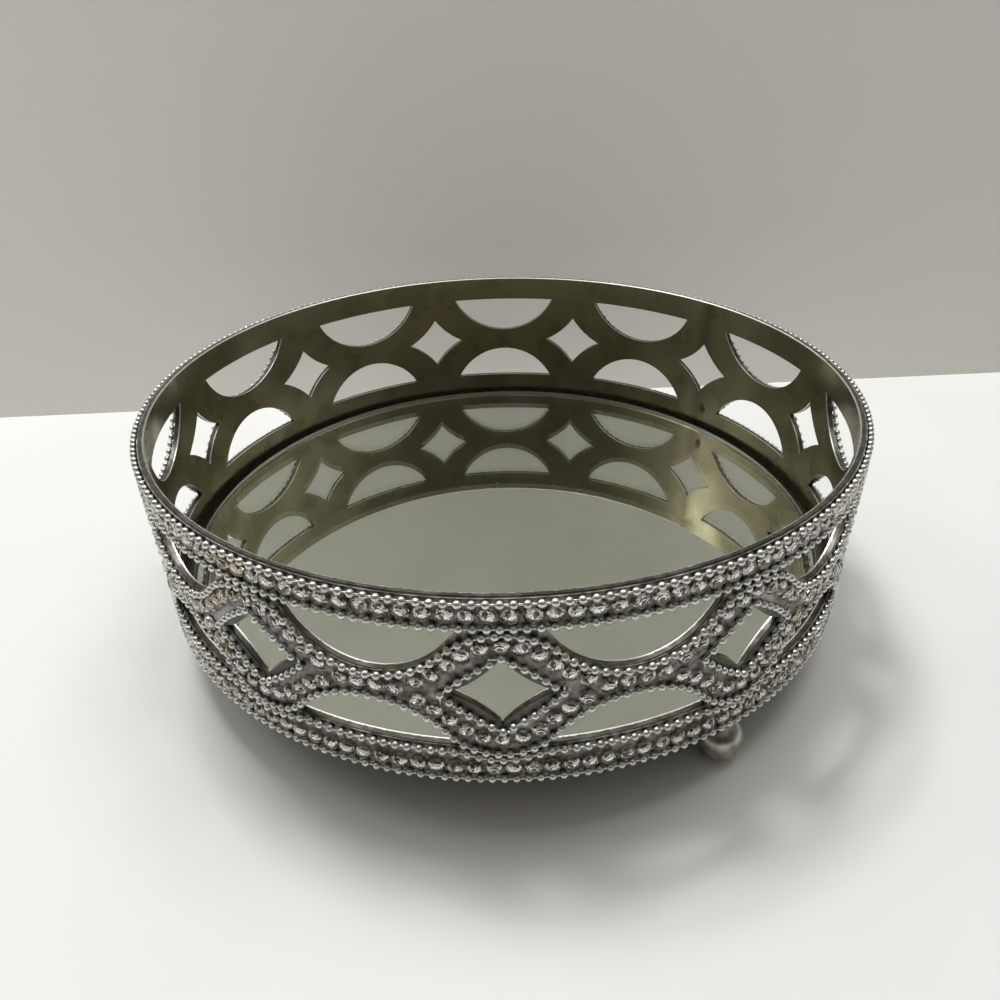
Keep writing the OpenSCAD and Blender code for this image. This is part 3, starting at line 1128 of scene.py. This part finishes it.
@dataclass
class Rhinestones:
    """The rows of foil-backed stones.

    A facet's glint, its painted highlight or painted shade, is picked from glints, by its place in the group that
    repeats round the stone. A veil is how much of a crown facet is painted as foil, a painted reflection.
    """

    pattern: Pattern = Pattern()
    sides: int = 16
    base_r: float = 2.14
    lip: Pair = (2.05, 0.8)
    foil_edge: Pair = (1.98, 0.34)
    foil_mid: Pair = (1.0, 0.12)
    table_r: float = 1.15
    tilt_deg: float = 6.0
    least: float = 0.95
    # Painted highlight and painted shade of the facets.
    glints: tuple[float, ...] = (1.0, 0.0, 0.9, 0.05, 1.0, 0.5, 0.0, 0.8)
    foil_picks: tuple[int, ...] = (2, 0, 3, 6)
    foil_stride: int = 3
    crown_picks: tuple[int, ...] = (1, 4, 6)
    crown_stride: int = 5
    cup_glint: float = 0.9
    # Painted reflection: how much of each crown facet is painted as foil.
    veils: tuple[float, ...] = (0.12, 0.45, 0.3)
    row_seed: int = 40
    tilt_seeds: Pair = (100.0, 200.0)
    size_seed: int = 3
    shade_seed: int = 29

    def template(self) -> Object:
        """Cuts one stone: a cup round the girdle, a foiled back in two tiers of facets, 24 crown facets and a table.

        Returns:
            An object with its back at the origin and its table towards +Z.
        """
        n, half = self.sides, self.sides // 2
        around = [(math.cos(2 * math.pi * i / n), math.sin(2 * math.pi * i / n)) for i in range(n)]
        rings = (
            ((self.base_r, 0.0), 1), (self.lip, 1), (self.foil_edge, 1), (self.foil_mid, 2),
            ((self.table_r, self.pattern.stone_h), 2))
        verts, starts = [(0.0, 0.0, 0.0)], []
        for (radius, level), step in rings:
            starts.append(len(verts))
            verts += [(radius * x, radius * y, level) for x, y in around[::step]]
        base, lip, edge, mid, table = starts
        wall = [(base + i, base + (i + 1) % n, lip + (i + 1) % n, lip + i) for i in range(n)]
        wall += [(base + i, edge + i, edge + (i + 1) % n, base + (i + 1) % n) for i in range(n)]
        foil, crown = [], []
        for k in range(half):
            here, after = mid + k, mid + (k + 1) % half
            outer = [edge + (2 * k + i) % n for i in (0, 1, 2)]
            foil += [(0, after, here), (here, outer[1], outer[0]), (here, after, outer[1]), (after, outer[2], outer[1])]
            here, after = table + k, table + (k + 1) % half
            crown += [
                (here, lip + 2 * k + 1, after), (here, lip + 2 * k, lip + 2 * k + 1),
                (here, lip + (2 * k - 1) % n, lip + 2 * k)]
        # Glints: painted highlight and painted shade on the foil and crown facets.
        back, front = ([self.glints[(k * stride + i) % half] for k in range(half) for i in picks] for stride, picks in (
            (self.foil_stride, self.foil_picks), (self.crown_stride, self.crown_picks)))
        faces = wall + foil + crown + [tuple(range(table, table + half))]
        marks = {
            "foil": [1.0] * len(wall + foil) + list(self.veils) * half + [0.0],
            "glint": [self.cup_glint] * len(wall) + back + front + [0.0]}
        mesh = wire("stone_template", [Vector(v) * MM for v in verts], [], faces)
        for name, values in marks.items():
            mesh.attributes.new(name, "FLOAT", "FACE").data.foreach_set("value", values)
        return show("stone_template", mesh)

    def recipe(self) -> Recipe:
        """Draws the tree that sets a stone on each point, turned outwards, spun and tilted at random.

        Returns:
            A recipe with the stone, its tilt and the seed as inputs.
        """
        made = Recipe("rhinestones", {"Stone": "Object", "Tilt": "Float", "Seed": "Int"})
        add, entry = made.add, made.entry
        place = add("GeometryNodeInputPosition")
        flat = add("ShaderNodeVectorMath", place, (1.0, 1.0, 0.0), operation="MULTIPLY")
        outward = add("FunctionNodeAlignRotationToVector", {"Vector": flat}, axis="Z")
        seeds = [add(Sum.PLUS, entry["Seed"], seed) for seed in self.tilt_seeds]
        leans = [add(Sum.TIMES, add(Kind.RANDOM, -1.0, 1.0, seed), entry["Tilt"]) for seed in seeds]
        spin = add(Kind.RANDOM, 0.0, 2 * math.pi, entry["Seed"])
        lean = add("FunctionNodeEulerToRotation", add(Kind.JOIN, *leans, spin))
        turned = add("FunctionNodeRotateRotation", outward, lean, rotation_space="LOCAL")
        stone = add("GeometryNodeObjectInfo", {"Object": entry["Stone"], "As Instance": True}).node.outputs["Geometry"]
        size = add(Kind.RANDOM, self.least, 1.0, self.size_seed)
        stones = add(Kind.SET_OUT, entry["Guide"], stone, turned, size)
        made.close(add(Kind.TINT, stones, "shade", add(Kind.RANDOM, 0.0, 1.0, self.shade_seed)))
        return made

    def rows(self) -> dict[str, list[Pair]]:
        """Finds where the stones sit.

        Returns:
            CAD node to distances round the wall and heights.
        """
        p = self.pattern
        count = math.floor(p.around / p.stone_pitch)
        top = (p.rim_chain_z + p.upper_strip_chain_z) / 2
        low = (p.foot_chain_z + p.lower_strip_chain_z - p.chain_dip) / 2
        rows = {
            name: [(p.around * (i + 0.5) / count, level) for i in range(count)]
            for name, level in (("top_ring_stones", top), ("bottom_ring_stones", low))}
        for name, depth, side in (("arch_stones", p.arch_stone_h, 1), ("underarch_stones", p.under_stone_h, -1)):
            run = [p.run_point(p.stone_a, depth, i * p.stone_pitch) for i in range(-p.side_stones, p.side_stones + 1)]
            rows[name] = [
                (p.column_w * c + across, p.mid_z + side * up) for c in range(p.columns) for across, up in run]
        rows["neck_stones"] = [
            ((2 * c + 1) * p.half_w + (i - (p.neck_stones - 1) / 2) * p.stone_pitch, p.mid_z)
            for c in range(p.columns) for i in range(p.neck_stones)]
        return rows

    def build(self) -> None:
        """Sets every row in place of its CAD node."""
        made, stone = self.recipe(), self.template()
        finish = FoiledCrystal("foil_backed_crystal").build()
        for number, (node, spots) in enumerate(self.rows().items()):
            guide = wire(node, [self.pattern.wall_point(u, z, self.pattern.stone_back_r) for u, z in spots])
            piece = made.run(node + "_cut", guide, {
                "Stone": stone, "Tilt": math.radians(self.tilt_deg), "Seed": self.row_seed + number, "Finish": finish})
            settle(piece, Slot.STONE, node)
        bpy.data.objects.remove(stone)


@dataclass(frozen=True)
class Lamp:
    """A square lamp, its place and size in metres and its power in watts."""

    name: str
    spot: Triple
    size: float
    power: float
    aim: Triple = (0.0, 0.0, 0.0)
    wall_only: bool = False


@dataclass
class Studio:
    """Table, wall, lamps and camera."""

    camera_at: Triple = (3.256, -222.076, 167.787)
    elevation: float = 32.384
    yaw: float = -0.33
    roll: float = -1.07
    sensor: float = 36.0
    lens: float = 29.016
    shift: float = -0.0107
    nearest_m: float = 0.01
    wall_left: Pair = (-182.2, 126.3)
    wall_right: Pair = (185.0, 151.4)
    wall_high: float = 320.0
    wall_paint: str = "#c6c4bd"
    table_paint: str = "#e3e4e2"
    reach: float = 1500.0
    room_dim: str = "#4c4a45"
    room_pale: str = "#abaaa6"
    lamps: tuple[Lamp, ...] = (
        Lamp("key", (-0.52, 0.64, 2.3), 0.6, 33.0),
        Lamp("top", (0.6, 0.44, 2.3), 1.0, 16.0),
        Lamp("side", (-0.86, 0.22, 0.96), 0.6, 2.6),
        Lamp("wash", (-0.3, -0.9, 0.7), 1.0, 7.0, (-0.05, 0.15, 0.15), True))

    def build(self) -> None:
        """Sets the stage."""
        self.boards()
        self.light()
        self.sky()
        self.aim()
        bpy.context.scene.view_settings.view_transform = "Standard"

    def boards(self) -> None:
        """Lays the table and stands the wall behind it."""
        left, right = (Vector((*spot, 0.0)) for spot in (self.wall_left, self.wall_right))
        along = (right - left).normalized()
        middle = (left + right) / 2
        start, end = middle - along * self.reach, middle + along * self.reach
        high = Vector((0, 0, self.wall_high))
        table = [Vector((x * self.reach, y * self.reach, 0)) for x, y in ((-1, -1), (1, -1), (1, 1), (-1, 1))]
        wall = [start, end, end + high, start + high]
        for name, corners, tone in (("table", table, self.table_paint), ("wall", wall, self.wall_paint)):
            one_sided = name == "wall"
            mesh = wire(name, [c * MM for c in corners], [], [(0, 1, 2, 3)])
            mesh.materials.append(PaintedBoard("painted_" + name, tone, one_sided=one_sided).build())
            board = show(name, mesh)
            board.visible_shadow = not one_sided

    def light(self) -> None:
        """Hangs three lamps above the tray, the strongest high on the left behind it, and a wash for the wall.

        The lamps leave no picture of themselves in the mirror, which shows the room alone.
        """
        lit, unlit = (bpy.data.collections.new(name) for name in ("wall_only", "all_but_mirror"))
        lit.objects.link(bpy.data.objects["wall"])
        for piece in (frame["nodes"]["mirror_glass"], bpy.data.objects["mirror_silver"]):
            unlit.objects.link(piece)
        for entry in unlit.collection_objects:
            entry.light_linking.link_state = "EXCLUDE"
        for lamp in self.lamps:
            data = bpy.data.lights.new(lamp.name, "AREA")
            data.size, data.energy = lamp.size, lamp.power
            hung = show(lamp.name, data)
            hung.location = lamp.spot
            hung.rotation_euler = (Vector(lamp.aim) - Vector(lamp.spot)).to_track_quat("-Z", "Y").to_euler()
            hung.light_linking.receiver_collection = lit if lamp.wall_only else unlit
            if lamp.wall_only:
                hung.light_linking.blocker_collection = lit

    def sky(self) -> None:
        """Makes the room's light: pale overhead and behind, dim in front below the lamps."""
        world = bpy.data.worlds.new("room")
        world.use_nodes = True
        world.node_tree.nodes.clear()
        add = partial(add_node, world.node_tree)
        _, y, z = add(Kind.SPLIT, add("ShaderNodeTexCoord").node.outputs["Generated"]).node.outputs
        pale = add(Sum.LARGER, add(Kind.RAMP, y, -0.9, 0.5), add(Kind.RAMP, z, 0.45, 0.95))
        tone = add(Kind.MIX, pale, self.room_dim, self.room_pale)
        add("ShaderNodeOutputWorld", add("ShaderNodeBackground", tone, 1.0))
        bpy.context.scene.world = world

    def aim(self) -> None:
        """Puts the camera where the photograph was taken from."""
        el, yaw, roll = (math.radians(v) for v in (self.elevation, self.yaw, self.roll))
        forward = Vector((math.sin(yaw) * math.cos(el), math.cos(yaw) * math.cos(el), -math.sin(el)))
        level = forward.cross(Vector((0, 0, 1))).normalized()
        upright = level.cross(forward)
        right = level * math.cos(roll) + upright * math.sin(roll)
        up = upright * math.cos(roll) - level * math.sin(roll)
        data = bpy.data.cameras.new("camera")
        data.sensor_width, data.lens, data.shift_x, data.clip_start = self.sensor, self.lens, self.shift, self.nearest_m
        camera = show("camera", data)
        turned = Matrix((right, up, -forward)).transposed().to_4x4()
        camera.matrix_world = Matrix.Translation(Vector(self.camera_at) * MM) @ turned
        bpy.context.scene.camera = camera


def main() -> None:
    """Builds the tray's pieces in order, then the studio."""
    for part in (Gallery(), MirrorFloor(), BallFeet(), ResinCoat(), BallChains(), Rhinestones(), Studio()):
        LOG.info("building %s", type(part).__name__)
        part.build()


if __name__ == "__main__":
    logging.basicConfig(level=logging.INFO, format="%(name)s: %(message)s")
    main()
